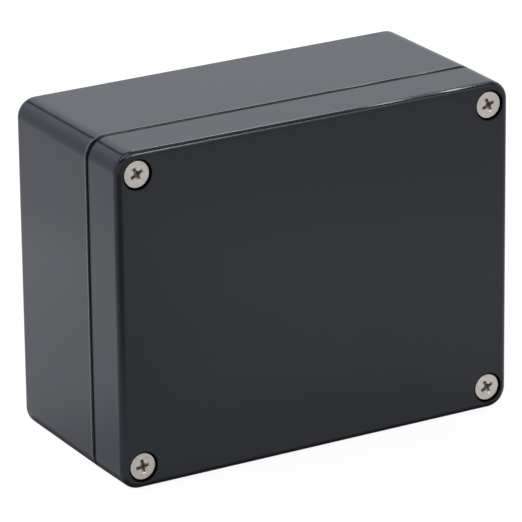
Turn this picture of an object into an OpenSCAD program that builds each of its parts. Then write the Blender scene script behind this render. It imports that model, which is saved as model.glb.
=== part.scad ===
// Sealed plastic project box, 115 x 90 x 55 mm, standing on one of its long narrow sides.
// X is the width, Y the depth (the lid faces -Y) and Z the height.
// The origin is the middle of the footprint on the surface that the box stands on.

/* [Case] */
// Outside width at the seam, along X
case_w = 115; // [100:1:160]
// Outside height at the seam, along Z
case_h = 90; // [82:1:140]
// Outside depth over base and lid, along Y
case_d = 55; // [48:1:90]
// Depth of the lid, from its front face to the seam
lid_d = 14.85; // [13:0.05:20]
// Radius of the four upright corners at the seam
corner_r = 5.4; // [4.4:0.1:8]
// Round between the base's sides and its back
back_r = 3; // [1:0.25:3.5]
// Round between the lid's sides and its front face
front_r = 1.9; // [0.5:0.1:2.1]
// Draft of the base's outer sides, in degrees
base_draft = 0.33; // [0.1:0.01:1]
// Draft of the lid's outer sides, in degrees
lid_draft = 0.5; // [0.1:0.01:1]

/* [Walls] */
// Wall of the base
base_wall = 3; // [2.6:0.1:4]
// Floor of the base
base_floor = 3; // [2:0.1:5]
// Wall of the lid
lid_wall = 2.6; // [2:0.1:3.2]
// Thickness of the lid's plate
lid_plate = 3; // [2.4:0.1:4]

/* [Seal] */
// Thickness of the tongue on the base's rim
tongue_t = 1.4; // [1:0.1:1.6]
// Height of the tongue over the base's rim
tongue_h = 2.2; // [1.5:0.1:3]
// Side clearance between the tongue and the lid's groove
tongue_clear = 0.15; // [0.1:0.05:0.25]
// Thickness of the gasket strip
gasket_t = 1.6; // [1:0.1:2.5]
// Clearance round the gasket in its groove
gasket_clear = 0.05; // [0.02:0.01:0.1]
// Wall on the inner side of the groove
groove_lip = 1.1; // [0.8:0.1:1.5]
// Width of the shadow gap round the case at the seam
seam_gap = 0.8; // [0.2:0.05:1.2]
// Bevel on the outer edges of both rims, on each side of the shadow gap
rim_bevel = 0.3; // [0.1:0.05:0.5]

/* [Lid screws] */
// Distance from the case's sides to each lid screw
screw_inset = 6.1; // [5.6:0.1:7]
// Diameter of the screw's shank
screw_d = 4; // [3.5:0.1:4.5]
// Length of the countersunk screw over its head
screw_l = 20; // [18:1:25]
// Diameter of the screw's head
head_d = 7; // [6.6:0.1:8]
// Straight rim of the screw's head
head_rim = 0.3; // [0.2:0.05:0.5]
// Depth of the head below the lid's face
head_sink = 0.45; // [0.2:0.05:0.8]
// Clearance round the head, in the recess
head_clear = 0.4; // [0.2:0.05:0.6]
// Clearance under the head's cone
seat_clear = 0.1; // [0.05:0.05:0.2]
// Clearance between the shank and the lid's screw hole
shank_clear = 0.25; // [0.15:0.05:0.4]
// Diameter of each screw column and of each insert post
post_d = 9.6; // [9:0.1:10.6]

/* [Phillips recess] */
// Width over the cross recess
cross_w = 3.8; // [3.4:0.1:4.4]
// Width of one wing of the cross
cross_t = 0.85; // [0.7:0.05:1.2]
// Depth of the cross recess
cross_depth = 1.8; // [1.2:0.1:2.2]

/* [Threaded inserts] */
// Outer diameter of the brass insert
insert_d = 5.6; // [5.2:0.1:6.4]
// Length of the brass insert
insert_l = 8; // [6:0.5:12]
// Depth of the insert's face below the post's face
insert_sink = 0.2; // [0.1:0.05:0.5]
// Width of each groove round the insert
insert_groove_w = 1; // [0.5:0.1:1.5]
// Depth of each groove round the insert
insert_groove_t = 0.35; // [0.2:0.05:0.5]
// Radial clearance between the screw and the insert
thread_clear = 0.05; // [0.02:0.01:0.1]
// Clearance between the insert and its hole in the post
insert_clear = 0.05; // [0.02:0.01:0.1]
// Diameter of the post's core hole behind the insert
post_core_d = 4.4; // [4.2:0.1:5]
// Solid end of the post, over the base's floor
post_end = 4; // [1:0.5:8]

/* [Wall mounting] */
// Spacing of the wall holes along X
wall_hole_x = 100; // [84:1:148]
// Spacing of the wall holes along Z
wall_hole_z = 54; // [44:1:104]
// Diameter of the wall holes
wall_hole_d = 4.5; // [4:0.1:5.5]
// Width of the mounting wells, square with round corners
well_w = 9; // [8.4:0.1:9.4]
// Wall between the mounting wells and the sealed space
seal_wall = 2.2; // [1.8:0.1:3]

/* [Board fixings] */
// Spacing of the standoffs along X
standoff_x = 76; // [50:1:78]
// Spacing of the standoffs along Z
standoff_z = 64; // [40:1:70]
// Diameter of a standoff
standoff_d = 6.5; // [5:0.1:8]
// Height of the base's standoffs over its floor
standoff_h = 5; // [3:0.5:12]
// Height of the lid's standoffs under its plate
lid_standoff_h = 4; // [2:0.5:6]
// Pilot hole for a board screw
pilot_d = 2.6; // [2:0.1:3.2]
// Floor that is left under each pilot hole
pilot_floor = 1.5; // [1:0.1:2.5]
// Number of card guides along each long wall
guide_count = 5; // [2:1:6]
// Distance between two card guides
guide_pitch = 14; // [10:1:15]
// Slot of a card guide
guide_slot = 2; // [1.6:0.1:2.6]
// Thickness of a guide's ribs
guide_rib_t = 1.2; // [1:0.1:1.5]
// Height of a guide's ribs over the wall
guide_rib_h = 1.5; // [1:0.1:2.5]
// Distance of the guides' ends from the base's rim
guide_end = 6; // [3:0.5:12]

/* [Hidden] */
$fn = 64;

// Corners of the case, as signs of X and Z
LOWER_LEFT = [-1, -1];
LOWER_RIGHT = [1, -1];
UPPER_LEFT = [-1, 1];
UPPER_RIGHT = [1, 1];
CORNERS = [LOWER_LEFT, LOWER_RIGHT, UPPER_LEFT, UPPER_RIGHT];

eps = 0.02;                               // overlap of shapes that join
cut = 1;                                  // how far a cutting tool runs past a face
base_d = case_d - lid_d;                  // from the seam to the back
seam_y = lid_d - case_d / 2;              // the plane where columns and posts meet
mid_z = case_h / 2;
screw_x = case_w / 2 - screw_inset;
screw_z = case_h / 2 - screw_inset;

// The sealed space is as wide as the case at its middle, and steps in round the wells.
cavity_x = case_w / 2 - base_wall;
cavity_z = case_h / 2 - base_wall;
well_x = wall_hole_x / 2 - well_w / 2;
well_z = wall_hole_z / 2 - well_w / 2;
waist_x = well_x - seal_wall;
waist_z = well_z - seal_wall;
cavity_round = 2;                         // corners of the sealed space
step_round = 3.6;                         // corners of the walls that step in round the wells

// The lid's groove, measured outwards from the sealed space's outline
groove_outer = tongue_t + tongue_clear;
groove_inner = -tongue_clear;
groove_depth = tongue_h - seam_gap + gasket_clear + gasket_t;

shank_r = screw_d / 2;
head_r = head_d / 2;
recess_r = head_r + head_clear;
insert_hole_d = insert_d + 2 * insert_clear;
insert_bore_r = shank_r + thread_clear;
web_t = 1.6;                              // web between a post and the wall of its well
cavity_depth = base_d - base_floor;
lid_depth = lid_d - lid_plate;
// The end rounds stay inside the corner radius, which the draft makes smaller
back_round = min(back_r, corner_r - base_d * tan(base_draft) - eps);
front_round = min(front_r, corner_r - lid_d * tan(lid_draft) - eps);

// Stands a shape that is drawn flat on its seam face up in the case: z = 0 becomes the seam.
module behind_seam() {
    translate([0, seam_y, mid_z]) rotate([90, 0, 0]) mirror([0, 0, 1]) children();
}

module before_seam() {
    translate([0, seam_y, mid_z]) rotate([90, 0, 0]) children();
}

// Puts a shape that is drawn in the first quarter into the quarter that the signs name.
module in_quarter(signs) {
    mirror([signs[0] < 0 ? 1 : 0, 0, 0]) mirror([0, signs[1] < 0 ? 1 : 0, 0]) children();
}

// Four copies at the corners of a rectangle, given as half its size.
module at_corners(x, z) {
    for (signs = CORNERS) translate([signs[0] * x, signs[1] * z]) children();
}

// A quarter of a disc, in the first quarter.
module quarter_disc(r) {
    intersection() {
        circle(r);
        square(2 * r);
    }
}

// A rectangle with round corners, given as half its size.
module round_rect(x, z, r) {
    for (signs = CORNERS) in_quarter(signs) translate([x - r, z - r]) quarter_disc(r);
    square([2 * (x - r), 2 * z], center = true);
    square([2 * x, 2 * (z - r)], center = true);
}

// Half section of a drafted side. It starts at x = 0 on the corners' centre line and at the
// rim, with a bevel, leans in as it rises, and ends in a round that is a trace larger than
// tangent, so that it cuts both faces.
module side_profile(rim, depth, draft, round_r) {
    round_y = depth - round_r;
    round_x = corner_r - round_y * tan(draft) - round_r;
    bevel_y = rim + rim_bevel;
    bevel_x = corner_r - bevel_y * tan(draft);
    intersection() {
        polygon([[0, rim], [bevel_x - rim_bevel, rim], [bevel_x, bevel_y],
                 [corner_r - depth * tan(draft), depth], [0, depth]]);
        union() {
            square([corner_r, round_y]);
            square([round_x, depth]);
            translate([round_x, round_y]) circle(1.001 * round_r);
        }
    }
}

// A drafted block with round corners, from its bevelled rim to a round edge at its far end.
module moulded_block(rim, depth, draft, round_r) {
    core_x = case_w / 2 - corner_r;
    core_z = case_h / 2 - corner_r;
    translate([-core_x, -core_z, rim]) cube([2 * core_x, 2 * core_z, depth - rim]);
    for (side = [0, 180]) rotate(side) {
        translate([core_x, core_z, 0]) rotate([90, 0, 0]) linear_extrude(2 * core_z)
            side_profile(rim, depth, draft, round_r);
        translate([-core_x, core_z, 0]) rotate([90, 0, 90]) linear_extrude(2 * core_x)
            side_profile(rim, depth, draft, round_r);
    }
    for (signs = CORNERS) in_quarter(signs) translate([core_x, core_z]) rotate_extrude(angle = 90)
        side_profile(rim, depth, draft, round_r);
}

// Outline of the sealed space, grown by d on all sides.
module sealed_outline(d = 0) {
    round_rect(cavity_x + d, waist_z + d, cavity_round + d);
    round_rect(waist_x + d, cavity_z + d, cavity_round + d);
    step = step_round - d;
    for (signs = CORNERS) in_quarter(signs) translate([waist_x + d, waist_z + d])
        difference() {
            square(step);
            translate([step, step]) rotate(180) quarter_disc(step);
        }
}

// A strip that follows the sealed space's outline.
module seal_strip(inner, outer) {
    difference() {
        sealed_outline(outer);
        sealed_outline(inner);
    }
}

// The open wells outside the seal, one in each corner.
module well_outline() {
    difference() {
        round_rect(cavity_x, cavity_z, corner_r - base_wall);
        sealed_outline(seal_wall);
    }
}

// Pairs of ribs on both long walls, for boards that stand across the case.
module card_guides() {
    rib_pitch = guide_slot + guide_rib_t;
    for (side = [0, 1]) mirror([0, side, 0])
        for (i = [0:guide_count - 1], rib = [-0.5, 0.5])
            translate([(i - (guide_count - 1) / 2) * guide_pitch + rib * rib_pitch - guide_rib_t / 2,
                       cavity_z - guide_rib_h, guide_end])
                cube([guide_rib_t, guide_rib_h + eps, cavity_depth - guide_end + eps]);
}

// Round posts with a pilot hole each, for the screws of a board.
module standoffs(h) {
    linear_extrude(h + eps) at_corners(standoff_x / 2, standoff_z / 2) circle(d = standoff_d);
}

module pilot_holes(depth) {
    translate([0, 0, -cut]) linear_extrude(depth + cut)
        at_corners(standoff_x / 2, standoff_z / 2) circle(d = pilot_d);
}

// Posts for the threaded inserts, each tied to the wall of its well by a web.
module insert_posts() {
    linear_extrude(cavity_depth + eps) at_corners(screw_x, screw_z) circle(d = post_d);
    for (signs = CORNERS) in_quarter(signs) translate([well_x - eps, screw_z - web_t / 2, seam_gap])
        cube([screw_x - well_x, web_t, cavity_depth - seam_gap + eps]);
}

module insert_holes() {
    translate([0, 0, -cut]) linear_extrude(insert_sink + insert_l + cut)
        at_corners(screw_x, screw_z) circle(d = insert_hole_d);
    linear_extrude(cavity_depth - post_end)
        at_corners(screw_x, screw_z) circle(d = post_core_d);
}

module base() {
    color("#55575c") behind_seam() difference() {
        union() {
            difference() {
                // the rim lies a gap behind the seam, so that the case shows a shadow line
                moulded_block(seam_gap, base_d, base_draft, back_round);
                linear_extrude(cavity_depth) sealed_outline();
                linear_extrude(cavity_depth) well_outline();
            }
            translate([0, 0, seam_gap - tongue_h]) linear_extrude(tongue_h + eps)
                seal_strip(0, tongue_t);
            card_guides();
            insert_posts();
            translate([0, 0, cavity_depth - standoff_h]) standoffs(standoff_h);
        }
        insert_holes();
        translate([0, 0, cavity_depth - standoff_h]) pilot_holes(standoff_h + base_floor - pilot_floor);
        linear_extrude(base_d + cut) at_corners(wall_hole_x / 2, wall_hole_z / 2)
            circle(d = wall_hole_d);
    }
}

// The countersunk hole of a lid screw, drawn with z = 0 on the lid's face and z up into the lid.
module screw_seat() {
    seat_z = head_sink + head_rim + seat_clear * sqrt(2) - head_clear;
    hole_r = shank_r + shank_clear;
    translate([0, 0, -cut]) cylinder(r = recess_r, h = seat_z + cut);
    translate([0, 0, seat_z - eps]) cylinder(r1 = recess_r + eps, r2 = hole_r, h = recess_r + eps - hole_r);
    cylinder(r = hole_r, h = lid_d + cut);
}

module lid() {
    color("#3b3d44") before_seam() difference() {
        union() {
            difference() {
                moulded_block(0, lid_d, lid_draft, front_round);
                translate([0, 0, -cut]) linear_extrude(lid_depth + cut)
                    round_rect(case_w / 2 - lid_wall, case_h / 2 - lid_wall, corner_r - lid_wall);
            }
            linear_extrude(lid_depth + eps)
                seal_strip(groove_inner - groove_lip, groove_outer + groove_lip);
            linear_extrude(lid_depth + eps) at_corners(screw_x, screw_z) circle(d = post_d);
            translate([0, 0, lid_depth - lid_standoff_h]) standoffs(lid_standoff_h);
        }
        translate([0, 0, -cut]) linear_extrude(groove_depth + cut)
            seal_strip(groove_inner, groove_outer);
        for (signs = CORNERS) translate([signs[0] * screw_x, signs[1] * screw_z, lid_d])
            mirror([0, 0, 1]) screw_seat();
        translate([0, 0, lid_depth - lid_standoff_h])
            pilot_holes(lid_standoff_h + lid_plate - pilot_floor);
    }
}

module gasket() {
    color("#1d1d1f") before_seam() translate([0, 0, groove_depth - gasket_t])
        linear_extrude(gasket_t) seal_strip(groove_inner + gasket_clear, groove_outer - gasket_clear);
}

// A Phillips recess: two crossed wings, tapered by a cone.
module cross_recess() {
    intersection() {
        translate([0, 0, -cut]) linear_extrude(cross_depth + cut) {
            square([cross_w, cross_t], center = true);
            square([cross_t, cross_w], center = true);
        }
        union() {
            cylinder(r1 = cross_w / 2, r2 = cross_t / 2, h = cross_depth);
            translate([0, 0, -cut]) cylinder(d = cross_w, h = cut + eps);
        }
    }
}

// A countersunk screw with its head up at z = 0 and its cross turned by an angle.
module lid_screw(corner, turn) {
    chamfer = shank_r / 4;
    neck_z = head_rim + head_r - shank_r;
    color("#c9c4bb") translate([corner[0] * screw_x, seam_y - lid_d + head_sink, mid_z + corner[1] * screw_z])
        rotate([-90, 0, 0]) difference() {
            rotate_extrude()
                polygon([[0, 0], [head_r, 0], [head_r, head_rim], [shank_r, neck_z],
                         [shank_r, screw_l - chamfer], [shank_r - chamfer, screw_l], [0, screw_l]]);
            rotate([0, 0, turn]) cross_recess();
        }
}

// A brass insert, with two grooves that hold it in the plastic.
module insert(corner) {
    groove_d = insert_d - 2 * insert_groove_t;
    color("#b58f45") behind_seam() translate([corner[0] * screw_x, corner[1] * screw_z, insert_sink])
        difference() {
            cylinder(d = insert_d, h = insert_l);
            translate([0, 0, -cut]) cylinder(r = insert_bore_r, h = insert_l + 2 * cut);
            for (place = [1 / 3, 2 / 3])
                translate([0, 0, place * insert_l - insert_groove_w / 2]) difference() {
                    cylinder(d = insert_d + cut, h = insert_groove_w);
                    translate([0, 0, -cut]) cylinder(d = groove_d, h = insert_groove_w + 2 * cut);
                }
        }
}

base();
lid();
gasket();
lid_screw(LOWER_LEFT, 0);  // lid_screw_lower_left
lid_screw(LOWER_RIGHT, 26);  // lid_screw_lower_right
lid_screw(UPPER_LEFT, 28);  // lid_screw_upper_left
lid_screw(UPPER_RIGHT, 23);  // lid_screw_upper_right
insert(LOWER_LEFT);  // insert_lower_left
insert(LOWER_RIGHT);  // insert_lower_right
insert(UPPER_LEFT);  // insert_upper_left
insert(UPPER_RIGHT);  // insert_upper_right
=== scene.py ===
"""Looks of a sealed plastic project box: moulded case, rubber seal, lid screws and brass inserts.

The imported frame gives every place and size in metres: X is the width, Y the depth (the lid faces -Y)
and Z the height. Pieces that replace a frame node fill the same room as the node.
"""

import math

import bmesh
import bpy
import numpy as np
from bpy.props import FloatProperty, FloatVectorProperty, IntProperty, PointerProperty
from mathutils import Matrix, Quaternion, Vector


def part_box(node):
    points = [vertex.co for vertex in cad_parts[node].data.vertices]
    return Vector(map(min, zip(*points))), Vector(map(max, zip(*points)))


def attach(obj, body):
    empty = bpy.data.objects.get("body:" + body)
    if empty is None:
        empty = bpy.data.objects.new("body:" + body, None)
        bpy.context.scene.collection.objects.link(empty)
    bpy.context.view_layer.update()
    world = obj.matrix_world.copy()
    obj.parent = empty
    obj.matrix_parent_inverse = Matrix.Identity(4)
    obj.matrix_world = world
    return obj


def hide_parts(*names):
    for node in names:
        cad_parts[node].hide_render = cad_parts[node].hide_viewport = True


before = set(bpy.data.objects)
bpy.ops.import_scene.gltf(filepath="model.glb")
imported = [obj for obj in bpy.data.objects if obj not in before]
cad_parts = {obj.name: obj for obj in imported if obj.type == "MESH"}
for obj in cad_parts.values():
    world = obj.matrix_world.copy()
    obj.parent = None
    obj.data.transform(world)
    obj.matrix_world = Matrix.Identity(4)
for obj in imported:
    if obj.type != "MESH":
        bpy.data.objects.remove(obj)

bl_info = {
    "name": "Project Box",
    "version": (1, 0, 0),
    "blender": (4, 5, 0),
    "location": "View3D > Sidebar > Project Box",
    "description": "Dresses the frame of a sealed plastic project box and sets up its studio",
    "category": "Add Mesh",
}

MM = 0.001
CORNERS = ("lower_left", "lower_right", "upper_left", "upper_right")
BASE_LOW, BASE_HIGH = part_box("base")
LID_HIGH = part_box("lid")[1]
GASKET_LOW, GASKET_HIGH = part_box("gasket")
CASE_MIDDLE = Vector((0, 0, (BASE_LOW.z + BASE_HIGH.z) / 2))
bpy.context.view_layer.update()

# Points of a frame node nearer than this are one point, and its faces that meet at less are one face
SAME_POINT = 0.002 * MM
SAME_FACE = math.radians(0.1)
# Edges over these angles are rounded on the case and look sharp on the small parts
ROUNDED_EDGE = math.radians(32)
SHARP_EDGE = math.radians(35)


# ---------------------------------------------------------------- sizes and colours


def property_kind(kind, **fixed):
    """A function that makes properties of one kind from a name, a description and a default."""

    def make(name, description, default):
        return kind(name=name, description=description, default=default, **fixed)

    return make


# Colours are in linear light, a tint's parts may pass 1, and lengths and points are in metres
colour = property_kind(FloatVectorProperty, subtype="COLOR", size=3, min=0, max=1)
tint = property_kind(FloatVectorProperty, size=3, min=0, max=2)
length = property_kind(FloatProperty, unit="LENGTH", subtype="DISTANCE", precision=5, min=0)
point = property_kind(FloatVectorProperty, unit="LENGTH", subtype="TRANSLATION", size=3)
angle = property_kind(FloatProperty, unit="ROTATION", subtype="ANGLE")
four_angles = property_kind(FloatVectorProperty, unit="ROTATION", subtype="NONE", size=4)
count = property_kind(IntProperty, min=1)
fraction = property_kind(FloatProperty, subtype="FACTOR", min=0, max=1)


def number(name, description, default, low, high):
    """A plain number in a range."""
    return FloatProperty(name=name, description=description, default=default, min=low, max=high)


class BoxCaseSettings(bpy.types.PropertyGroup):
    """Edges and finish of the base and the lid."""

    edge_round: length("Edge Round", "Width of the small round on every moulded edge", 0.12 * MM)
    edge_segments: count("Edge Segments", "Faces across each edge round", 2)
    plastic: colour("Plastic", "Main colour of the moulded plastic", (0.0118, 0.0155, 0.0330))
    plastic_pale: colour("Pale Plastic", "Colour of the flow clouds", (0.0146, 0.0185, 0.0380))
    roughness_low: fraction("Least Roughness", "Roughness of the mould finish's glossy smears", 0.13)
    roughness_high: fraction("Most Roughness", "Roughness of the mould finish's dull smears", 0.17)
    gloss: fraction("Gloss", "Specular level of the plastic", 0.42)
    ior: number("IOR", "Index of refraction of the plastic", 1.5, 1.0, 3.0)
    # Painted highlight: the base's rim is painted paler in a band of the width below, beside its bevel
    rim_highlight_colour: colour("Rim Highlight", "Colour of the base's rim at the seam", (0.21, 0.22, 0.23))
    rim_width: length("Rim Width", "Width of the rubbed band beside the rim's bevel", 0.45 * MM)
    rim_bevel: length("Rim Bevel", "Bevel of the rims at the seam", 0.3 * MM)
    seam_gap: length("Seam Gap", "Width of the gap between the lid and the base", 0.8 * MM)
    # Painted shade: the lid's plastic turns to a near-black metallic colour by the seam and round the
    # screw wells, over the widths below
    painted_shade_colour: colour("Painted Shade", "Colour by the seam and round the wells", (0.003, 0.0035, 0.005))
    seam_shade: length("Seam Shade", "Width of the grime on the lid's rim", 0.88 * MM)
    well_radius: length("Well Radius", "Radius of the wells round the heads", 3.9 * MM)
    well_shade: length("Well Shade", "Width of the grime round each well", 0.45 * MM)
    grain_size: length("Grain Size", "Size of the fine eroded grain", 0.35 * MM)
    grain_depth: length("Grain Depth", "Depth of the fine grain", 0.0035 * MM)


class BoxScrewSettings(bpy.types.PropertyGroup):
    """Shape and finish of the countersunk lid screws."""

    shank: length("Shank", "Outer diameter of the thread", 4 * MM)
    pitch: length("Pitch", "Distance between two turns of the thread", 0.7 * MM)
    thread_depth: length("Thread Depth", "Depth of the thread", 0.42 * MM)
    plain_shank: length("Plain Shank", "Smooth length under the head's cone", 2.2 * MM)
    head_rim: length("Head Rim", "Straight height of the head's edge", 0.3 * MM)
    head_edge: length("Head Edge", "Bevel round the head's face", 0.07 * MM)
    cross_span: length("Cross Span", "Width over the cross recess", 3.8 * MM)
    cross_width: length("Cross Width", "Width of one wing of the cross", 0.85 * MM)
    cross_depth: length("Cross Depth", "Depth of the cross at its middle", 1.8 * MM)
    turns: four_angles(
        "Turns",
        "How far each screw's cross is turned, in the order of the corners",
        [math.radians(degrees) for degrees in (9, 26, 28, 23)],
    )
    steel: colour("Steel", "Colour of the plated steel", (0.69, 0.635, 0.56))
    recess_colour: colour("Recess", "Colour deep in the cross", (0.40, 0.355, 0.31))
    wear: fraction("Wear", "Share of the steel's colour left in the worn patches", 0.78)
    roughness_low: fraction("Least Roughness", "Roughness of the head's glossy grain", 0.32)
    roughness_high: fraction("Most Roughness", "Roughness of the head's dull grain", 0.44)
    recess_dullness: fraction("Recess Dullness", "Roughness added in the cross", 0.15)
    turning_marks: number("Turning Marks", "Fineness of the rings on the head", 38, 1, 200)
    mark_depth: length("Mark Depth", "Depth of the turning marks", 0.004 * MM)
    grain_size: length("Grain Size", "Size of the plating's grain", 0.25 * MM)
    patch_size: length("Patch Size", "Size of the worn patches", 0.8 * MM)


class BoxSealSettings(bpy.types.PropertyGroup):
    """Outline and finish of the gasket strip."""

    strip_width: length("Strip Width", "Width of the strip", 1.6 * MM)
    strip_round: length("Strip Round", "Corner round of the strip's section", 0.35 * MM)
    outer_offset: length("Outer Offset", "From the outline to the strip's outer side", 1.5 * MM)
    waist_x: length("Waist X", "Half width of the sealed space between the wells", 43.3 * MM)
    waist_z: length("Waist Z", "Half height of the sealed space between the wells", 20.3 * MM)
    corner: length("Corner", "Outer corner radius of the sealed outline", 2 * MM)
    step: length("Step", "Inner corner radius round the wells", 3.6 * MM)
    rubber: colour("Rubber", "Colour of the seal", (0.018, 0.018, 0.019))
    dust: number("Dust", "How much paler the dusty clouds are", 1.7, 1.0, 5.0)
    roughness_low: fraction("Least Roughness", "Roughness of the skin's glossy smears", 0.62)
    roughness_high: fraction("Most Roughness", "Roughness of the skin's dull smears", 0.78)
    grain_size: length("Grain Size", "Size of the pebbled skin", 0.3 * MM)
    grain_depth: length("Grain Depth", "Depth of the pebbled skin", 0.012 * MM)
    cloud_size: length("Cloud Size", "Size of the dusty clouds", 6 * MM)


class BoxInsertSettings(bpy.types.PropertyGroup):
    """Shape and finish of the threaded inserts."""

    bore: length("Bore", "Diameter of the threaded bore", 4.1 * MM)
    pitch: length("Pitch", "Distance between two turns of the thread", 0.7 * MM)
    thread_depth: length("Thread Depth", "Depth of the thread", 0.3 * MM)
    chamfer: length("Chamfer", "Bevel of both ends", 0.25 * MM)
    groove_width: length("Groove Width", "Width of each groove", 1 * MM)
    groove_depth: length("Groove Depth", "Depth of each groove", 0.35 * MM)
    knurl_depth: length("Knurl Depth", "Depth of the diamond knurl", 0.22 * MM)
    knurl_count: count("Knurl Count", "Knurl teeth round the insert", 30)
    brass: colour("Brass", "Colour of the brass", (0.78, 0.55, 0.25))
    tarnish: fraction("Tarnish", "Share of the brass's colour left in the dull patches", 0.72)
    roughness_low: fraction("Least Roughness", "Roughness of the brass's glossy smears", 0.24)
    roughness_high: fraction("Most Roughness", "Roughness of the brass's dull smears", 0.4)
    grain_size: length("Grain Size", "Size of the brass's grain", 0.1 * MM)
    grain_depth: length("Grain Depth", "Depth of the brass's grain", 0.002 * MM)
    patch_size: length("Patch Size", "Size of the dull patches", 1.2 * MM)


class BoxStageSettings(bpy.types.PropertyGroup):
    """Camera, lamps and background."""

    azimuth: angle("Azimuth", "Turn of the camera to the left side", math.radians(29.908))
    elevation: angle("Elevation", "Height of the camera", math.radians(20.166))
    roll: angle("Roll", "Tilt of the camera", -0.0118)
    distance: length("Distance", "From the camera to its aim point", 1.199)
    focal_length: number("Focal Length", "Lens of the camera, in millimetres", 325.52, 10, 500)
    aim: point("Aim", "Point that the camera looks at", (-0.011445, -0.018442, 0.050780))
    floor_size: length("Floor Size", "Side of the floor", 6.0)
    floor_colour: colour("Floor Colour", "Colour that takes the shadow", (0.35, 0.35, 0.36))
    floor_glow: fraction("Floor Glow", "How pale the floor looks in the box's shadow", 0.93)
    ambient: fraction("Ambient", "Grey light from all round", 0.18)
    floor_tint: tint("Floor Tint", "Tint of the floor in gloss", (0.98, 1.0, 1.04))
    wall_tint: tint("Wall Tint", "Tint of the room in gloss", (0.955, 0.998, 1.05))
    background: colour("Background", "Colour of the floor and the backdrop", (1, 1, 1))


SETTINGS = {
    "box_case": BoxCaseSettings,
    "box_screws": BoxScrewSettings,
    "box_seal": BoxSealSettings,
    "box_inserts": BoxInsertSettings,
    "box_stage": BoxStageSettings,
}


# ---------------------------------------------------------------- meshes


def grid_faces(rows, columns, wrap_rows=False, wrap_columns=True, first=0):
    """Quads of a rows x columns grid of points: point (i, j) has the number first + i * columns + j."""
    i = np.arange(rows if wrap_rows else rows - 1)
    j = np.arange(columns if wrap_columns else columns - 1)
    i, j = np.meshgrid(i, j, indexing="ij")
    here = i * columns
    after = (i + 1) % rows * columns
    next_j = (j + 1) % columns
    quads = np.stack([here + j, here + next_j, after + next_j, after + j], -1)
    return quads.reshape(-1, 4) + first


def add_piece(name, mesh, node, body, material):
    """Links a piece that stands for a frame node, rides on its body and wears its slot's material."""
    piece = bpy.data.objects.new(name, mesh)
    bpy.context.scene.collection.objects.link(piece)
    mesh.materials.clear()
    mesh.materials.append(material)
    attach(piece, body)
    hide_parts(node)
    return piece


def merged_copy(node):
    """A frame node's triangles with shared points joined and flat areas dissolved into single faces."""
    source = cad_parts[node].data
    points = np.zeros(len(source.vertices) * 3)
    source.vertices.foreach_get("co", points)
    points = points.reshape(-1, 3)
    corners = np.zeros(len(source.loops), int)
    source.loops.foreach_get("vertex_index", corners)
    cells = np.round(points / SAME_POINT).astype(int)
    keys, joined = np.unique(cells, axis=0, return_inverse=True)
    joined = joined.ravel()
    shared = np.zeros((len(keys), 3))
    shared[joined] = points
    triangles = joined[corners].reshape(-1, 3)
    whole = (triangles != np.roll(triangles, 1, axis=1)).all(1)
    mesh = bpy.data.meshes.new(node + "_shell")
    mesh.from_pydata(shared, [], triangles[whole].tolist())
    shape = bmesh.new()
    shape.from_mesh(mesh)
    bmesh.ops.dissolve_limit(
        shape,
        angle_limit=SAME_FACE,
        verts=shape.verts,
        edges=shape.edges,
        use_dissolve_boundaries=False,
    )
    shape.to_mesh(mesh)
    shape.free()
    mesh.shade_smooth()
    return mesh


def case_shell(node, material, settings):
    """A moulded shell: the frame node's own form with a small round on every sharp edge."""
    shell = add_piece("case_" + node, merged_copy(node), node, node, material)
    bevel = shell.modifiers.new("edge_round", "BEVEL")
    bevel.width = settings.edge_round
    bevel.segments = settings.edge_segments
    bevel.limit_method = "ANGLE"
    bevel.angle_limit = ROUNDED_EDGE
    bevel.use_clamp_overlap = False
    bevel.miter_outer = "MITER_ARC"
    normals = shell.modifiers.new("shading", "WEIGHTED_NORMAL")
    normals.keep_sharp = True
    normals.weight = 80
    return shell


def smooth_step(x):
    """0 below 0, 1 above 1, and 3x^2 - 2x^3 in between."""
    x = np.clip(x, 0, 1)
    return x * x * (3 - 2 * x)


def saw(turns):
    """A wave that is 1 at every whole number and 0 halfway between: |2 * (turns mod 1) - 1|."""
    return np.abs((turns % 1) * 2 - 1)


def head_lines(settings, radius):
    """Grid lines from -radius to radius, with a close pair at each wall and end of the cross."""
    wall = settings.cross_width / 2
    reach = settings.cross_span / 2
    slot_floor = np.linspace(0, 0.86 * wall, 4)
    slot_length = np.linspace(1.06 * wall, reach - 0.05 * MM, 9)
    outside = np.linspace(reach + 0.03 * MM, radius, 6)
    half = np.concatenate([slot_floor, slot_length, outside])
    return np.concatenate([-half[:0:-1], half])


def cross_recess(u, v, settings):
    """Depth of a Phillips recess at (u, v), from 0 to the full depth.

    Each wing is a slot whose floor falls from its end to the core, where it is deepest, between two
    sloping sides. The corners between the wings are cut off by a pyramid whose height falls with
    |u| + |v|. Widths are parts of the half width of a wing, its wall.
    """
    wall = settings.cross_width / 2
    reach = settings.cross_span / 2
    core = 0.3 * reach
    wing_top, wing_slope = 1.05 * wall, 0.2 * wall
    corner_top, corner_slope, corner_share = 2.9 * wall, 1.5 * wall, 0.8

    def wing(along, across):
        fall = np.clip((reach - along) / (reach - core), 0, 1)
        side = np.clip((wing_top - across) / wing_slope, 0, 1)
        return settings.cross_depth * fall * side

    u, v = np.abs(u), np.abs(v)
    corners = np.clip((corner_top - u - v) / corner_slope, 0, corner_share)
    return np.maximum(np.maximum(wing(u, v), wing(v, u)), settings.cross_depth * corners)


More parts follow.
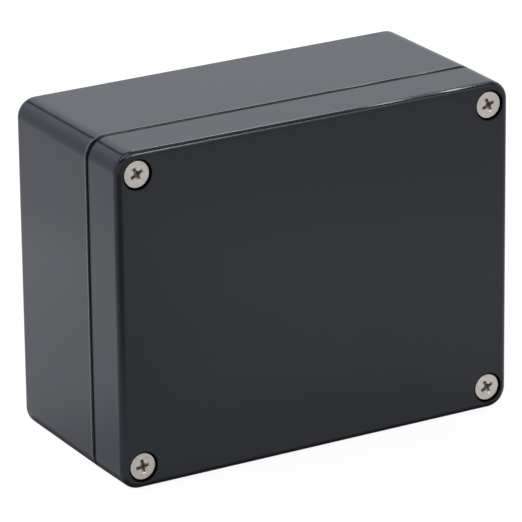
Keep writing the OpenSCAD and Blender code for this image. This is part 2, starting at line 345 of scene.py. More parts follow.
def screw_head_face(settings, radius):
    """The head's flat face as a square grid blended into a disc, with the cross pressed in.

    A grid point q with m = max(|u|, |v|) moves to q * (1 - s + s * m / |q|), where s grows from 0 at
    the cross to 1 at the edge, so that the outer line of the square becomes a circle.
    """
    lines = head_lines(settings, radius)
    u, v = np.meshgrid(lines, lines, indexing="ij")
    larger = np.maximum(np.abs(u), np.abs(v))
    distance = np.hypot(u, v)
    reach = settings.cross_span / 2
    share = smooth_step((larger - reach) / (radius - reach))
    scale = 1 - share + share * larger / np.maximum(distance, 1e-9)
    x, z = u * scale, v * scale
    depth = cross_recess(u, v, settings)
    return x, z, depth


def square_edge(side):
    """Numbers of the outer points of a side x side grid, once round."""
    run = np.arange(side - 1)
    last = side - 1
    sides = [run * side, last * side + run, (last - run) * side + last, last - run]
    return np.concatenate(sides)


def front_middle(box):
    """The middle of a box's front face, where the axis of a screw or an insert starts."""
    low, high = box
    return np.array([(low.x + high.x) / 2, low.y, (low.z + high.z) / 2])


def screw_profile(settings, head_radius, total):
    """Rows (radius, depth, thread share) of the screw, from the head's edge down to the tip.

    They are the head's straight rim and its bevel, the cone, the round into the shank, the thread
    and the bevelled tip. The thread grows to its full depth over one and a half turns.
    """
    core = settings.shank / 2
    rim_end = settings.head_edge + settings.head_rim
    cone_end = rim_end + head_radius - core
    thread_start = cone_end + settings.plain_shank
    thread_end = total - 0.6 * MM
    turns = int((thread_end - thread_start) / settings.pitch)
    rows_per_turn = 8
    thread = np.linspace(thread_start, thread_end, turns * rows_per_turn)
    share = smooth_step((thread - thread_start) / (1.5 * settings.pitch))
    head = [
        (head_radius, settings.head_edge, 0),
        (head_radius, settings.head_edge + settings.head_rim * 0.9, 0),
        (head_radius - 0.06 * MM, rim_end, 0),
        (core + 0.25 * MM, cone_end - 0.22 * MM, 0),
        (core + 0.05 * MM, cone_end + 0.1 * MM, 0),
        (core, cone_end + 0.5 * MM, 0),
    ]
    tip = [
        (core - 0.35 * MM, total - 0.25 * MM, 0),
        (core - 0.7 * MM, total, 0),
        (0.3 * MM, total, 0),
    ]
    body = list(zip(np.full(len(thread), core), thread, share))
    return np.array(head + body + tip)


def screw_mesh(name, box, turn, settings):
    """A countersunk machine screw.

    Its face is a square grid blended into a disc that bulges by bulge * (1 - (r / radius)^2). Below,
    rows of the profile run round: the radius of the thread is the shank's less its depth times a
    flank that grows with 1 - saw(depth / pitch + angle / full turn), a helix with a narrow flat at
    its crest and root.
    """
    low, high = box
    radius = (high.x - low.x) / 2
    total = high.y - low.y
    bulge = 0.03 * MM
    face_radius = radius - settings.head_edge
    x, z, depth = screw_head_face(settings, face_radius)
    side = len(x)
    dome = bulge * (1 - (np.hypot(x, z) / face_radius) ** 2)
    face = np.stack([x, depth + bulge - dome, z], -1).reshape(-1, 3)
    edge = square_edge(side)
    around = np.arctan2(face[edge, 2], face[edge, 0])
    profile = screw_profile(settings, radius, total)
    r, y, share = (profile[:, k : k + 1] for k in range(3))
    wave = saw(y / settings.pitch + around / (2 * math.pi))
    flank = np.clip(1.25 * (1 - wave) - 0.1, 0, 1)
    r = r - share * settings.thread_depth * flank
    body = np.stack([r * np.cos(around), y + 0 * r, r * np.sin(around)], -1).reshape(-1, 3)
    points = np.concatenate([face, body, [[0, total, 0]]])
    columns = np.arange(len(edge))
    first = len(face)
    following = np.roll(columns, -1)
    disc = grid_faces(side, side, wrap_columns=False)
    join = np.stack([edge, np.roll(edge, -1), following + first, columns + first], -1)
    sides = grid_faces(len(profile), len(edge), first=first)
    rim = first + (len(profile) - 1) * len(edge) + columns
    tip = np.full(len(edge), len(points) - 1)
    end = np.stack([rim, np.roll(rim, -1), tip], -1)
    quads = np.concatenate([disc, join[:, ::-1], sides[:, ::-1]])
    x, y, z = points.T
    cos, sin = math.cos(turn), math.sin(turn)
    placed = np.stack([x * cos - z * sin, y, x * sin + z * cos], -1) + front_middle(box)
    recess = np.zeros(len(points))
    recess[: len(face)] = depth.ravel() / settings.cross_depth
    attributes = {"recess": recess, "radial": np.hypot(x, z) / radius}
    return closed_mesh(name, placed, quads, end[:, ::-1], attributes)


def closed_mesh(name, points, quads, triangles=np.zeros((0, 3), int), attributes=None):
    """A closed mesh of quads and triangles, turned outwards together, with point attributes.

    The faces are inside out where the tetrahedra from the middle to each face, a . (b x c), sum to
    less than 0.
    """
    both = np.concatenate([quads[:, [0, 1, 2]], quads[:, [0, 2, 3]], triangles])
    a, b, c = (points[both[:, k]] - points.mean(0) for k in range(3))
    if np.einsum("ij,ij->", a, np.cross(b, c)) < 0:
        quads = quads[:, ::-1]
        triangles = triangles[:, ::-1]
    mesh = bpy.data.meshes.new(name)
    mesh.from_pydata(points, [], quads.tolist() + triangles.tolist())
    for key, values in (attributes or {}).items():
        layer = mesh.attributes.new(key, "FLOAT", "POINT")
        layer.data.foreach_set("value", values.astype(np.float32).ravel())
    mesh.shade_smooth()
    mesh.set_sharp_from_angle(angle=SHARP_EDGE)
    mesh.update()
    return mesh


def sealed_path(settings, offset, arc_points=9):
    """Points and outward normals once round the sealed outline, grown by offset.

    Each quarter is a round corner, an inner round at the well and a round corner, every arc being
    centre + radius * (cos, sin); straight sides join them. The other quarters mirror it.
    """
    corner, step = settings.corner, settings.step
    waist_x, waist_z = settings.waist_x, settings.waist_z
    side = GASKET_HIGH.x - settings.outer_offset - corner
    top = (GASKET_HIGH.z - GASKET_LOW.z) / 2 - settings.outer_offset - corner
    quarter = np.linspace(0, math.pi / 2, arc_points)

    def arc(centre, radius, angles, sign):
        direction = np.stack([np.cos(angles), np.sin(angles)], -1)
        return np.array(centre) + radius * direction, sign * direction

    parts = [
        arc((side, waist_z - corner), corner + offset, quarter, 1),
        arc((waist_x + step, waist_z + step), step - offset, 1.5 * math.pi - quarter, -1),
        arc((waist_x - corner, top), corner + offset, quarter, 1),
    ]
    points = np.concatenate([part[0] for part in parts])
    normals = np.concatenate([part[1] for part in parts])
    flip = np.array([-1, 1])
    points = np.concatenate([points, points[::-1] * flip])
    normals = np.concatenate([normals, normals[::-1] * flip])
    return np.concatenate([points, -points]), np.concatenate([normals, -normals])


def gasket_mesh(settings):
    """The seal: a rectangle with round corners, carried along the sealed outline.

    A point of the section is the middle of its corner's round plus round * (cos, sin); it goes to
    path + across * normal, at the depth that it gives.
    """
    half_width = settings.strip_width / 2
    half_depth = (GASKET_HIGH.y - GASKET_LOW.y) / 2
    path, normals = sealed_path(settings, settings.outer_offset - half_width)
    rounding = settings.strip_round
    round_points = 4
    quarter = np.linspace(0, math.pi / 2, round_points)
    turn = np.concatenate([quarter + k * math.pi / 2 for k in range(4)])
    signs = np.repeat([[1, 1], [-1, 1], [-1, -1], [1, -1]], round_points, axis=0)
    across = signs[:, 0] * (half_width - rounding) + rounding * np.cos(turn)
    depth = signs[:, 1] * (half_depth - rounding) + rounding * np.sin(turn)
    flat = path[:, None, :] + across[None, :, None] * normals[:, None, :]
    y = (GASKET_HIGH.y + GASKET_LOW.y) / 2 + depth[None, :] + 0 * flat[:, :, 0]
    points = np.stack([flat[:, :, 0], y, CASE_MIDDLE.z + flat[:, :, 1]], -1).reshape(-1, 3)
    quads = grid_faces(len(path), len(turn), wrap_rows=True)
    return closed_mesh("seal_strip", points, quads)


def insert_mesh(name, box, settings):
    """A threaded insert: a ring whose closed section runs down the outside and back up the bore.

    The outside carries a diamond knurl, depth * max(saw(around + along), saw(around - along)), away
    from the grooves and ends. The bore carries a helical thread, depth * saw(y / pitch + turn).
    """
    low, high = box
    outer = (high.x - low.x) / 2
    total = high.y - low.y
    bore = settings.bore / 2
    chamfer = settings.chamfer
    rows_down, rows_up, points_per_tooth = 73, 81, 8
    groove_wall, groove_run_out, end_run_out = 0.1 * MM, 0.2 * MM, 0.3 * MM
    columns = settings.knurl_count * points_per_tooth
    turn = np.arange(columns) / columns
    down = np.linspace(chamfer, total - chamfer, rows_down)[:, None]
    up = np.linspace(total - chamfer, chamfer, rows_up)[:, None]
    groove_middles = np.array([total / 3, 2 * total / 3])
    away = np.abs(down - groove_middles).min(1, keepdims=True) - settings.groove_width / 2
    groove = 1 - smooth_step(away / groove_wall + 0.5)
    land = smooth_step(away / groove_run_out) * smooth_step((down - chamfer) / end_run_out)
    land = land * smooth_step((total - chamfer - down) / end_run_out)
    around = turn * settings.knurl_count
    along = down * settings.knurl_count / (2 * math.pi * outer)
    knurl = np.maximum(saw(around + along), saw(around - along)) * settings.knurl_depth
    outside = outer - groove * settings.groove_depth - knurl * land
    thread = settings.thread_depth * saw(up / settings.pitch + turn)
    inside = bore + thread * smooth_step((up - chamfer) / settings.pitch)
    outer_rim = np.full((1, columns), outer - chamfer)
    bore_rim = np.full((1, columns), bore + chamfer)
    r = np.concatenate([outside, outer_rim, bore_rim, inside, bore_rim, outer_rim])
    y = np.concatenate([down.ravel(), [total, total], up.ravel(), [0, 0]])[:, None] + 0 * r
    cos, sin = np.cos(2 * math.pi * turn), np.sin(2 * math.pi * turn)
    points = np.stack([r * cos, y, r * sin], -1).reshape(-1, 3) + front_middle(box)
    quads = grid_faces(len(r), columns, wrap_rows=True)
    return closed_mesh(name, points, quads)


# ---------------------------------------------------------------- materials

# The colour sockets of a mix node: two inputs and the output
MIX_FIRST, MIX_SECOND, MIX_RESULT = 6, 7, 2
# The part of a noise texture's range in which nearly all of it lies
NOISE_RANGE = (0.3, 0.7)
# Shares of the cross's depth between which the steel turns to the darker recess colour
RECESS_DEPTHS = (0.01, 0.25)
# The size of the clouds on a moulding, and how many smears there are to a metre on every skin
FLOW_CLOUDS = 18 * MM
SMEARS_PER_METRE = 45


def feed(tree, socket, value):
    """Gives an input a link, when the value is a socket, or else a plain value."""
    if isinstance(value, bpy.types.NodeSocket):
        tree.links.new(value, socket)
    else:
        socket.default_value = value


def node_at(tree, kind, place, **values):
    """A node of a kind at a place in the tree, with its inputs or fields given by name."""
    node = tree.nodes.new(kind)
    node.location = place
    for key, value in values.items():
        name = key.replace("_", " ").title()
        if name in node.inputs:
            feed(tree, node.inputs[name], value)
        else:
            setattr(node, key, value)
    return node


def number_step(tree, operation, place, *values, kind="ShaderNodeMath", result="Value"):
    """The result of a step of arithmetic on numbers, each a socket or a plain value."""
    node = node_at(tree, kind, place, operation=operation)
    for socket, value in zip(node.inputs, values):
        feed(tree, socket, value)
    return node.outputs[result]


def vector_step(tree, operation, place, *values):
    """The result of a step of arithmetic on vectors: a vector, or the value of a length."""
    result = "Value" if operation in ("LENGTH", "DISTANCE") else "Vector"
    kind = "ShaderNodeVectorMath"
    return number_step(tree, operation, place, *values, kind=kind, result=result)


def fade(tree, source, start, end, place, kind="SMOOTHSTEP", low=0, high=1):
    """Low where a value is at its start and high at its end, a smooth or a LINEAR change between."""
    node = node_at(tree, "ShaderNodeMapRange", place, interpolation_type=kind, value=source)
    for name, value in (("From Min", start), ("From Max", end), ("To Min", low), ("To Max", high)):
        node.inputs[name].default_value = value
    return node.outputs["Result"]


def spread(tree, source, low, high, place):
    """Stretches the main part of a noise texture's range to low..high."""
    return fade(tree, source, *NOISE_RANGE, place, "LINEAR", low, high)


def spread_roughness(tree, source, settings, place):
    """A roughness that changes with a noise between the two given by the settings."""
    return spread(tree, source, settings.roughness_low, settings.roughness_high, place)


def choose(tree, factor, when_off, when_on, place):
    """A blend of two colours, each a socket or a plain colour of three parts."""
    node = node_at(tree, "ShaderNodeMix", place, data_type="RGBA", factor=factor)
    for index, value in ((MIX_FIRST, when_off), (MIX_SECOND, when_on)):
        plain = not isinstance(value, bpy.types.NodeSocket)
        feed(tree, node.inputs[index], (*value, 1) if plain else value)
    return node.outputs[MIX_RESULT]


def bump(tree, height, distance, place):
    """A bump of a real depth in metres."""
    node = node_at(tree, "ShaderNodeBump", place, strength=1, distance=distance, height=height)
    return node.outputs["Normal"]


def object_place(tree, place):
    """Object coordinates, which are metres in the shared frame on every piece."""
    return node_at(tree, "ShaderNodeTexCoord", place).outputs["Object"]


def moulded_grain_group():
    """Node group of a skin: its grain's height, its soft clouds and its wide smears.

    Each is a noise of its own size over the object coordinates; the smears have one size for all.
    """
    group = bpy.data.node_groups.new("moulded_grain", "ShaderNodeTree")
    sizes = {"Grain Size": 0.35 * MM, "Cloud Size": FLOW_CLOUDS}
    for name, value in sizes.items():
        socket = group.interface.new_socket(name, in_out="INPUT", socket_type="NodeSocketFloat")
        socket.default_value = value
    for name in ("Height", "Clouds", "Smears"):
        group.interface.new_socket(name, in_out="OUTPUT", socket_type="NodeSocketFloat")
    entry = node_at(group, "NodeGroupInput", (-900, 0))
    here = object_place(group, (-900, 300))

    def noise(y, **values):
        return node_at(group, "ShaderNodeTexNoise", (-400, y), vector=here, **values).outputs["Fac"]

    def per_metre(socket, y):
        return number_step(group, "DIVIDE", (-650, y), 1, entry.outputs[socket])

    grain = noise(300, scale=per_metre("Grain Size", 200), detail=3, roughness=0.6)
    clouds = noise(0, scale=per_metre("Cloud Size", -50), detail=4, roughness=0.55, distortion=0.3)
    smears = noise(-350, scale=SMEARS_PER_METRE, detail=3, roughness=0.6)
    node_at(group, "NodeGroupOutput", (500, 0), height=grain, clouds=clouds, smears=smears)
    return group


def grained(tree, grain_size, cloud_size):
    """The grain group, made once, placed in a material with the material's own sizes."""
    group = bpy.data.node_groups.get("moulded_grain") or moulded_grain_group()
    node = node_at(tree, "ShaderNodeGroup", (-500, 0), node_tree=group)
    node.inputs["Grain Size"].default_value = grain_size
    node.inputs["Cloud Size"].default_value = cloud_size
    return node.outputs


def new_tree(owner):
    """The emptied node tree of a new material or world."""
    owner.use_nodes = True
    owner.node_tree.nodes.clear()
    return owner.node_tree


def new_material(name):
    """A material with an empty tree and its Principled shader, already joined to the output."""
    material = bpy.data.materials.new(name)
    tree = new_tree(material)
    shader = node_at(tree, "ShaderNodeBsdfPrincipled", (400, 0))
    node_at(tree, "ShaderNodeOutputMaterial", (700, 0), surface=shader.outputs["BSDF"])
    return material, tree, shader


def finish(tree, shader, base_colour, roughness, normal):
    """Joins what changes over the surface to the shader."""
    tree.links.new(base_colour, shader.inputs["Base Color"])
    tree.links.new(roughness, shader.inputs["Roughness"])
    tree.links.new(normal, shader.inputs["Normal"])


def clouded(name, settings, main, second, cloud_size):
    """A skin of a main colour with clouds of a second, a range of roughness and a fine grain."""
    material, tree, shader = new_material(name)
    skin = grained(tree, settings.grain_size, cloud_size)
    clouds = spread(tree, skin["Clouds"], 0, 1, (-250, 200))
    base_colour = choose(tree, clouds, main, second, (0, 200))
    rough = spread_roughness(tree, skin["Smears"], settings, (-250, 0))
    grain = bump(tree, skin["Height"], settings.grain_depth, (0, -250))
    finish(tree, shader, base_colour, rough, grain)
    return material, tree, shader, base_colour


def moulded_plastic(name, settings, rim=None):
    """Smooth moulded plastic: faint flow clouds, a fine eroded grain and slight changes of sheen.

    Where the middle y of a rim's corner is given, a narrow band round it is painted paler as a
    highlight. Any other moulding has painted shade by the seam and round its screw wells: a near-black
    metallic colour, which mirrors almost nothing.
    """
    material, tree, shader, plain = clouded(
        name, settings, settings.plastic, settings.plastic_pale, FLOW_CLOUDS
    )
    if rim is None:
        # Painted shade by the seam and round the wells: the plastic turns to a near-black metallic
        # colour that mirrors almost nothing
        wells = round_wells(tree, settings, (-1700, -500))
        seam = by_the_seam(tree, settings, (-1700, -800))
        painted_shade = number_step(tree, "MAXIMUM", (-400, -500), wells, seam)
        base_colour = choose(tree, painted_shade, plain, settings.painted_shade_colour, (200, 400))
        metallic = spread(tree, painted_shade, 0, 1, (-150, -500))
        tree.links.new(metallic, shader.inputs["Metallic"])
    else:
        # Painted highlight: a paler band beside the base's rim bevel
        painted_highlight = by_the_rim(tree, settings, rim, (-700, 600))
        base_colour = choose(tree, painted_highlight, plain, settings.rim_highlight_colour, (200, 400))
    tree.links.new(base_colour, shader.inputs["Base Color"])
    shader.inputs["Specular IOR Level"].default_value = settings.gloss
    shader.inputs["IOR"].default_value = settings.ior
    return material


def depth_place(tree, place):
    """The depth y of the place on the object."""
    x, y = place
    split = node_at(tree, "ShaderNodeSeparateXYZ", (x + 180, y), vector=object_place(tree, place))
    return split.outputs["Y"]


def by_the_rim(tree, settings, rim, place):
    """1 in a narrow band where |y - rim| is small, with soft edges."""
    x, y = place
    offset = number_step(tree, "SUBTRACT", (x + 380, y), depth_place(tree, place), rim)
    away = number_step(tree, "ABSOLUTE", (x + 550, y), offset)
    return fade(tree, away, 0.5 * settings.rim_width, 0.3 * settings.rim_width, (x + 720, y))


def by_the_seam(tree, settings, place):
    """1 on the lid's rim at the seam, where shade is painted, falling to 0 over the shade's inner part.
    """
    x, y = place
    start = LID_HIGH.y - 1.3 * settings.seam_shade
    end = LID_HIGH.y - 0.7 * settings.seam_shade
    return fade(tree, depth_place(tree, place), start, end, (x + 360, y))


def round_wells(tree, settings, place):
    """1 at the edges of the four screw wells, where shade is painted, falling to 0 over the shade's
    width.

    The wells lie at middle +- reach, so the distance from the nearest axis is the length of
    |here - middle| - reach across x and z.
    """
    x, y = place
    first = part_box("lid_screw_lower_left")
    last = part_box("lid_screw_upper_right")
    middle = (first[0] + first[1] + last[0] + last[1]) / 4
    reach = (last[0] + last[1]) / 2 - middle
    value = vector_step(tree, "SUBTRACT", (x + 180, y), object_place(tree, place), middle)
    value = vector_step(tree, "ABSOLUTE", (x + 360, y), value)
    value = vector_step(tree, "SUBTRACT", (x + 540, y), value, reach)
    value = vector_step(tree, "MULTIPLY", (x + 720, y), value, (1, 0, 1))
    away = vector_step(tree, "LENGTH", (x + 900, y), value)
    start = settings.well_radius + settings.well_shade
    return fade(tree, away, start, settings.well_radius, (x + 1080, y))


def plated_steel(name, settings):
    """Plated steel: worn patches, turning marks round the head, and a darker, rougher cross."""
    material, tree, shader = new_material(name)
    recess = node_at(tree, "ShaderNodeAttribute", (-800, 200), attribute_name="recess")
    radial = node_at(tree, "ShaderNodeAttribute", (-800, -200), attribute_name="radial")
    skin = grained(tree, settings.grain_size, settings.patch_size)
    deep = fade(tree, recess.outputs["Fac"], *RECESS_DEPTHS, (-550, 250), "LINEAR")
    worn = [settings.wear * part for part in settings.steel]
    patches = spread(tree, skin["Clouds"], 0, 1, (-550, 500))
    plating = choose(tree, patches, settings.steel, worn, (-250, 500))
    base_colour = choose(tree, deep, plating, settings.recess_colour, (0, 250))
    rough = spread_roughness(tree, skin["Height"], settings, (-250, 0))
    dull = number_step(tree, "MULTIPLY_ADD", (50, 0), deep, settings.recess_dullness, rough)
    rings = node_at(
        tree,
        "ShaderNodeTexNoise",
        (-550, -200),
        noise_dimensions="1D",
        w=radial.outputs["Fac"],
        scale=settings.turning_marks,
        detail=2,
    )
    marks = bump(tree, rings.outputs["Fac"], settings.mark_depth, (0, -250))
    finish(tree, shader, base_colour, dull, marks)
    shader.inputs["Metallic"].default_value = 1
    return material


def turned_brass(name, settings):
    """Turned brass with slightly dull patches."""
    dull = [settings.tarnish * part for part in settings.brass]
    material, _, shader, _ = clouded(name, settings, settings.brass, dull, settings.patch_size)
    shader.inputs["Metallic"].default_value = 1
    return material


def seal_rubber(name, settings):
    """Matt rubber with a fine pebbled skin and dusty clouds."""
    dusty = [settings.dust * part for part in settings.rubber]
    return clouded(name, settings, settings.rubber, dusty, settings.cloud_size)[0]


# ---------------------------------------------------------------- stage

# What gloss sees of the room: levels of the wall behind and of the room in front against height,
# and the dark joint in the wall against its place from left to right
WALL_LEVELS = (
    (0.0, 0.70), (0.12, 0.75), (0.25, 0.82), (0.38, 1.01),
    (0.46, 1.12), (0.55, 1.20), (0.72, 1.00), (0.86, 0.45),
)
FRONT_LEVELS = ((0.0, 0.75), (0.45, 0.80), (0.70, 0.10), (0.835, 0.10), (0.88, 0.80))
WALL_JOINT = ((0.435, 1.0), (0.45, 0.25), (0.50, 0.25), (0.515, 1.0))
# The room in front gives way to the wall behind between these parts of y in a ray's direction
FRONT_END, WALL_START = -0.1, 0.3
# What gloss sees of the floor: painted levels against the distance from a place. They are the ring
# round the box, the painted shades at its front left and close by its left side, and the painted glow
# behind its left
FLOOR_LEVELS = (
    (
        (0, 0, 0),
        ((0.04, 0.66), (0.10, 0.77), (0.16, 0.82), (0.24, 0.70), (0.30, 0.66), (0.42, 0.50)),
    ),
    ((-0.17, -0.20, 0), ((0.06, 0.25), (0.24, 1.0))),
    ((-0.072, 0.0, 0), ((0.0, 0.72), (0.055, 1.0))),
    ((-0.118, 0.15, 0), ((0.0, 1.10), (0.05, 1.0))),
)
# The floor's level in gloss against the distance from the box's own outline: a painted contact shadow,
# dark where they touch
CONTACT_LEVELS = ((0.0, 0.1), (0.003, 1.0))
# Lamps that only light surfaces: name, place, size, radiance
FILL_LAMPS = (
    ("overhead_lamp", (0.1, 0.45, 1.5), (0.6, 0.6), 4.0),
    ("left_lamp", (-1.3, 0.6, 0.6), (0.9, 0.9), 3.0),
    ("front_lamp", (0.5, -1.6, 0.9), (0.7, 0.5), 1.0),
)
# Lamps over the box that gloss draws as lines of light along its top edges
EDGE_LAMPS = (
    ("edge_lamp_back", (0.30, 0.32, 0.575), (0.11, 0.24), 4.5),
    ("edge_lamp_spot", (0.0863, -0.018, 0.165), (0.0055, 0.030), 22.0),
    ("edge_lamp_glint", (0.065, -0.020, 0.165), (0.009, 0.026), 12.0),
    ("edge_lamp_left", (0.241, -0.44, 0.575), (0.072, 0.28), 12.0),
    ("edge_lamp_front", (0.36, -0.44, 0.575), (0.14, 0.28), 2.4),
    ("edge_lamp_corner", (0.02, -0.42, 0.575), (0.34, 0.11), 6.5),
    ("edge_lamp_above", (-0.26, -0.02, 0.66), (0.54, 0.34), 1.5),
)


def background_rays(tree, place):
    """1 for rays from the camera, and 1 for all that see the background: also gloss and glass."""
    x, y = place
    rays = node_at(tree, "ShaderNodeLightPath", (x - 400, y)).outputs
    seen = number_step(tree, "MAXIMUM", (x - 200, y), rays["Is Camera Ray"], rays["Is Glossy Ray"])
    seen = number_step(tree, "MAXIMUM", place, seen, rays["Is Transmission Ray"])
    return rays["Is Camera Ray"], seen


def ramp(tree, source, stops, place):
    """A grey level that follows a value through stops of (value from 0 to 1, level)."""
    node = node_at(tree, "ShaderNodeValToRGB", place, fac=source)
    node.color_ramp.interpolation = "EASE"
    elements = node.color_ramp.elements
    while len(elements) < len(stops):
        elements.new(0.5)
    for element, (position, level) in zip(elements, stops):
        element.position = position
        element.color = (level, level, level, 1)
    return node.outputs["Color"]


def past_edge(tree, source, half, place):
    """How far a coordinate lies past half a width, on either side: |source| - half."""
    x, y = place
    size = number_step(tree, "ABSOLUTE", place, source)
    return number_step(tree, "SUBTRACT", (x + 180, y), size, half)


def floor_gloss(tree, settings):
    """What gloss sees of the floor: the product of its painted levels, with a painted contact shadow
    close under the box.
    """
    here = object_place(tree, (-1400, -500))
    split = node_at(tree, "ShaderNodeSeparateXYZ", (-1200, -900), vector=here).outputs
    past_x = past_edge(tree, split["X"], BASE_HIGH.x, (-1000, -850))
    past_y = past_edge(tree, split["Y"], BASE_HIGH.y, (-1000, -1050))
    past = number_step(tree, "MAXIMUM", (-600, -950), past_x, past_y)
    level = ramp(tree, past, CONTACT_LEVELS, (-400, -950))
    for index, (centre, stops) in enumerate(FLOOR_LEVELS):
        y = 200 - 250 * index
        distance = vector_step(tree, "DISTANCE", (-1000, y), here, centre)
        patch = ramp(tree, distance, stops, (-750, y))
        level = number_step(tree, "MULTIPLY", (-450, y), level, patch)
    return vector_step(tree, "MULTIPLY", (-100, -500), level, settings.floor_tint)


def floor_material(settings):
    """A pale floor: it takes light and shadow, shows white to the camera, and its painted levels in
    gloss.
    """
    material = bpy.data.materials.new("studio_floor")
    tree = new_tree(material)
    matt = node_at(tree, "ShaderNodeBsdfDiffuse", (300, 150))
    matt.inputs["Color"].default_value = (*settings.floor_colour, 1)
    camera, seen = background_rays(tree, (0, -200))
    white = [settings.floor_glow * part for part in settings.background]
    look = choose(tree, camera, floor_gloss(tree, settings), white, (50, -450))
    glow = node_at(tree, "ShaderNodeEmission", (300, -100), color=look, strength=seen)
    add = node_at(tree, "ShaderNodeAddShader", (600, 0))
    tree.links.new(matt.outputs["BSDF"], add.inputs[0])
    tree.links.new(glow.outputs["Emission"], add.inputs[1])
    node_at(tree, "ShaderNodeOutputMaterial", (800, 0), surface=add.outputs["Shader"])
    return material


def world_gloss(tree, settings):
    """What gloss sees of the room: a wall behind with one dark joint, and a front and a ceiling."""
    place = node_at(tree, "ShaderNodeTexCoord", (-1200, -100)).outputs["Generated"]
    split = node_at(tree, "ShaderNodeSeparateXYZ", (-1000, -100), vector=place).outputs
    across = fade(tree, split["X"], -1, 1, (-950, 300), "LINEAR")
    joint = ramp(tree, across, WALL_JOINT, (-750, 300))
    wall = ramp(tree, split["Z"], WALL_LEVELS, (-750, 0))
    behind = number_step(tree, "MULTIPLY", (-450, 150), wall, joint)
    front = ramp(tree, split["Z"], FRONT_LEVELS, (-750, -300))
    side = fade(tree, split["Y"], FRONT_END, WALL_START, (-750, -600))
    level = choose(tree, side, front, behind, (-450, -200))
    return vector_step(tree, "MULTIPLY", (-250, -200), level, settings.wall_tint)


def studio_world(settings):
    """The backdrop: white to the camera, graded in gloss, and a low grey as ambient light."""
    world = bpy.data.worlds.new("studio")
    tree = new_tree(world)
    camera, seen = background_rays(tree, (0, 200))
    gloss = world_gloss(tree, settings)
    look = choose(tree, camera, gloss, settings.background, (100, -100))
    light = choose(tree, seen, (settings.ambient,) * 3, look, (350, 0))
    back = node_at(tree, "ShaderNodeBackground", (600, 0), color=light)
    node_at(tree, "ShaderNodeOutputWorld", (800, 0), surface=back.outputs["Background"])
    bpy.context.scene.world = world


def add_floor(settings):
    """A wide floor under the box."""
    half = settings.floor_size / 2
    corners = [(-half, -half, 0), (half, -half, 0), (half, half, 0), (-half, half, 0)]
    mesh = bpy.data.meshes.new("floor")
    mesh.from_pydata(corners, [], [(0, 1, 2, 3)])
    mesh.materials.append(floor_material(settings))
    floor = bpy.data.objects.new("floor", mesh)
    bpy.context.scene.collection.objects.link(floor)


def add_lamp(name, place, aim, size, radiance, mirrored):
    """A flat lamp at a place, turned to its aim. Its power is pi * radiance * area.

    A mirrored lamp is only seen in gloss; any other one only lights surfaces.
    """
    lamp = bpy.data.lights.new(name, "AREA")
    lamp.shape = "RECTANGLE"
    lamp.size, lamp.size_y = size
    lamp.energy = math.pi * radiance * size[0] * size[1]
    holder = bpy.data.objects.new(name, lamp)
    holder.location = place
    holder.rotation_mode = "QUATERNION"
    holder.rotation_quaternion = (Vector(aim) - Vector(place)).to_track_quat("-Z", "Y")
    holder.visible_glossy = mirrored
    holder.visible_diffuse = not mirrored
    holder.visible_camera = False
    bpy.context.scene.collection.objects.link(holder)


def add_camera(settings):
    """The camera, at a distance from its aim along its azimuth and elevation."""
    flat = math.cos(settings.elevation)
    x = -math.sin(settings.azimuth) * flat
    y = -math.cos(settings.azimuth) * flat
    back = Vector((x, y, math.sin(settings.elevation)))
    roll = Quaternion((0, 0, 1), settings.roll)
    camera = bpy.data.cameras.new("camera")
    camera.lens = settings.focal_length
    camera.sensor_width = 36
    camera.clip_start = 0.05
    camera.clip_end = 20
    holder = bpy.data.objects.new("camera", camera)
    holder.location = Vector(settings.aim) + back * settings.distance
    holder.rotation_mode = "QUATERNION"
    holder.rotation_quaternion = (-back).to_track_quat("-Z", "Y") @ roll
    bpy.context.scene.collection.objects.link(holder)
    bpy.context.scene.camera = holder


# ---------------------------------------------------------------- operators


class BOX_OT_case(bpy.types.Operator):
    """Builds the base and the lid with rounded edges and satin plastic"""

    bl_idname = "box.case"
    bl_label = "Case"

    def execute(self, context):
        settings = context.scene.box_case
        bevel_end = LID_HIGH.y + settings.seam_gap + settings.rim_bevel
        rims = {"base": bevel_end + settings.rim_width / 2, "lid": None}
        for node, rim in rims.items():
            plastic = moulded_plastic("moulded_" + node, settings, rim)
            case_shell(node, plastic, settings)
        return {"FINISHED"}


class BOX_OT_seal(bpy.types.Operator):
    """Builds the gasket strip in the lid's groove"""

    bl_idname = "box.seal"
    bl_label = "Seal"

    def execute(self, context):
        settings = context.scene.box_seal
        rubber = seal_rubber("seal_rubber", settings)
        add_piece("seal_strip", gasket_mesh(settings), "gasket", "lid", rubber)
        return {"FINISHED"}


class BOX_OT_screws(bpy.types.Operator):
    """Builds the four countersunk lid screws"""

    bl_idname = "box.screws"
    bl_label = "Lid Screws"

    def execute(self, context):
        settings = context.scene.box_screws
        steel = plated_steel("plated_steel", settings)
        for corner, turn in zip(CORNERS, settings.turns):
            node = "lid_screw_" + corner
            mesh = screw_mesh("screw_" + corner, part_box(node), turn, settings)
            add_piece("screw_" + corner, mesh, node, node, steel)
        return {"FINISHED"}


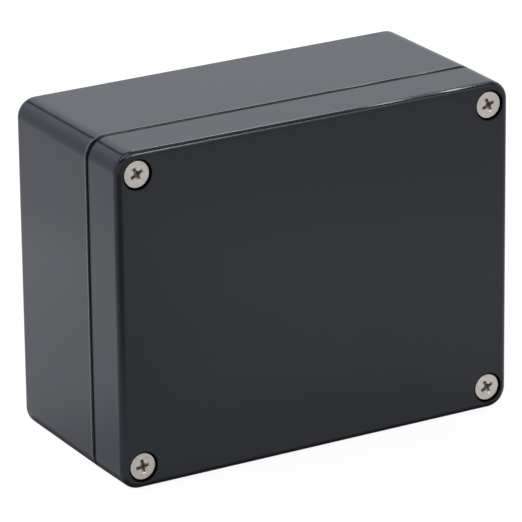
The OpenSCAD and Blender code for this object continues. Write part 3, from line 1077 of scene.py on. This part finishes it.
class BOX_OT_inserts(bpy.types.Operator):
    """Builds the four knurled brass inserts"""

    bl_idname = "box.inserts"
    bl_label = "Threaded Inserts"

    def execute(self, context):
        settings = context.scene.box_inserts
        brass = turned_brass("turned_brass", settings)
        for corner in CORNERS:
            node = "insert_" + corner
            mesh = insert_mesh("thread_" + corner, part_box(node), settings)
            add_piece("thread_" + corner, mesh, node, "base", brass)
        return {"FINISHED"}


class BOX_OT_stage(bpy.types.Operator):
    """Builds the floor, the backdrop, the lamps and the camera"""

    bl_idname = "box.stage"
    bl_label = "Stage"

    def execute(self, context):
        settings = context.scene.box_stage
        add_floor(settings)
        studio_world(settings)
        for name, place, size, radiance in FILL_LAMPS:
            add_lamp(name, place, CASE_MIDDLE, size, radiance, mirrored=False)
        for name, place, size, radiance in EDGE_LAMPS:
            under = (place[0], place[1], 0)
            add_lamp(name, place, under, size, radiance, mirrored=True)
        add_camera(settings)
        context.scene.view_settings.view_transform = "Standard"
        return {"FINISHED"}


class BOX_PT_panel(bpy.types.Panel):
    """The box's sizes, colours and build buttons"""

    bl_idname = "BOX_PT_panel"
    bl_label = "Project Box"
    bl_space_type = "VIEW_3D"
    bl_region_type = "UI"
    bl_category = "Project Box"

    def draw(self, context):
        for key in SETTINGS:
            part = self.layout.box()
            settings = getattr(context.scene, key)
            for name in settings.__annotations__:
                part.prop(settings, name)
            part.operator(key.replace("box_", "box."))


OPERATORS = (BOX_OT_case, BOX_OT_seal, BOX_OT_screws, BOX_OT_inserts, BOX_OT_stage)


def register():
    """Registers the settings, the operators and the panel."""
    for key, group in SETTINGS.items():
        bpy.utils.register_class(group)
        setattr(bpy.types.Scene, key, PointerProperty(type=group))
    for kind in (*OPERATORS, BOX_PT_panel):
        bpy.utils.register_class(kind)


def unregister():
    """Takes back what register did."""
    for kind in (BOX_PT_panel, *reversed(OPERATORS)):
        bpy.utils.unregister_class(kind)
    for key, group in reversed(list(SETTINGS.items())):
        delattr(bpy.types.Scene, key)
        bpy.utils.unregister_class(group)


def main():
    """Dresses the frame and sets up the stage."""
    register()
    bpy.ops.box.case()
    bpy.ops.box.seal()
    bpy.ops.box.screws()
    bpy.ops.box.inserts()
    bpy.ops.box.stage()
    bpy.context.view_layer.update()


if __name__ == "__main__":
    main()
